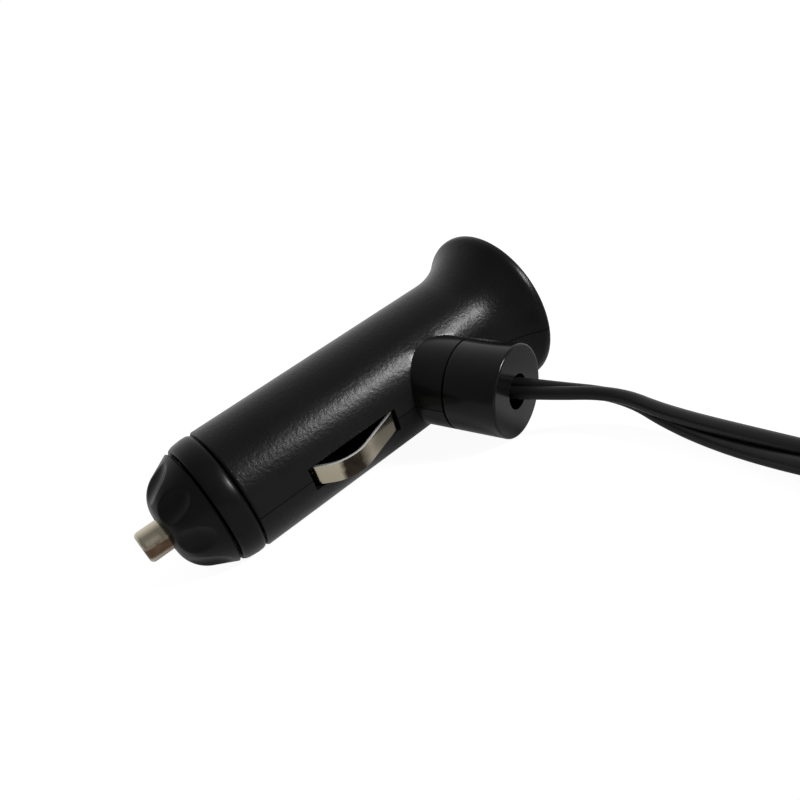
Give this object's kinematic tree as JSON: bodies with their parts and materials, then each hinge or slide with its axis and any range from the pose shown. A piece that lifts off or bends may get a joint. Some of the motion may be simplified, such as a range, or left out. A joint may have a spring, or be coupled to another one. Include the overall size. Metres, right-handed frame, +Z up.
{
  "type": "lighter socket splitter plug",
  "caption": "Black car lighter plug with sprung side contacts, a dimpled screw nose and a slanted boss whose twin lead ends in an in-line socket.",
  "frame": {"origin": "on the floor under the middle of the lying plug's box, its lead left out", "axes": "+X along the lying plug from its centre contact to its flared rim, +Z up from the floor; the boss and its lead leave towards -Y"},
  "size_m": [0.1114, 0.1551, 0.0291],
  "materials": {
    "black_satin_plastic": "satin moulded black plastic with a fine grain",
    "black_smooth_plastic": "smooth black plastic with a soft shine",
    "nickel": "nickel-plated, bright",
    "brass": "bare brass",
    "spring_steel": "drawn spring wire",
    "fuse_glass": "clear glass",
    "fuse_wire": "tinned wire",
    "red_insulation": "soft red insulation",
    "black_insulation": "soft black insulation",
    "cord_sheath": "satin black sheath of a twin lead",
    "tie_plastic": "matte black tie",
    "disc_board": "brown insulating board",
    "relief_rubber": "matte black moulding"
  },
  "bodies": {
    "plug": {"housing_upper": "black_satin_plastic", "housing_lower": "black_satin_plastic", "socket_shell": "black_satin_plastic", "front_collar": "black_smooth_plastic", "cord_bush": "black_smooth_plastic", "socket_sleeve": "nickel", "rear_terminal": "brass", "socket_contact": "brass", "contact_spring": "spring_steel", "live_lead": "red_insulation", "earth_lead": "black_insulation", "link_wire": "black_insulation", "cord_lead": "cord_sheath", "cord_coil": "cord_sheath", "cord_tail": "cord_sheath", "cord_tie": "tie_plastic", "socket_disc": "disc_board", "socket_relief": "relief_rubber"},
    "nose_cap": {"nose_cap": "black_smooth_plastic"},
    "centre_contact": {"centre_contact": "nickel", "fuse_glass": "fuse_glass", "fuse_cap_front": "brass", "fuse_cap_rear": "brass", "fuse_wire": "fuse_wire"},
    "side_contact_near": {"side_contact_near": "nickel"},
    "side_contact_far": {"side_contact_far": "nickel"}
  },
  "joints": [
    {"name": "nose_cap_turn", "type": "hinge", "parent": "plug", "child": "nose_cap", "pos_m": [-0.0307, 0.00452, 0.00982], "axis": [-0.9974, 0, -0.0721], "range_deg": [0, 835]},
    {"name": "centre_contact_press", "type": "slide", "parent": "plug", "child": "centre_contact", "axis": [0.9974, 0, 0.0721], "range_m": [0, 0.003], "stiffness_N_per_m": 600, "springref_m": -0.004, "deforming": ["contact_spring"]},
    {"name": "near_contact_press", "type": "slide", "parent": "plug", "child": "side_contact_near", "axis": [-0.0202, 0.9597, 0.2801], "range_m": [0, 0.0025], "stiffness_N_per_m": 2000, "springref_m": -0.0005},
    {"name": "far_contact_press", "type": "slide", "parent": "plug", "child": "side_contact_far", "axis": [0.0202, -0.9597, -0.2801], "range_m": [0, 0.0025], "stiffness_N_per_m": 2000, "springref_m": -0.0005}
  ]
}
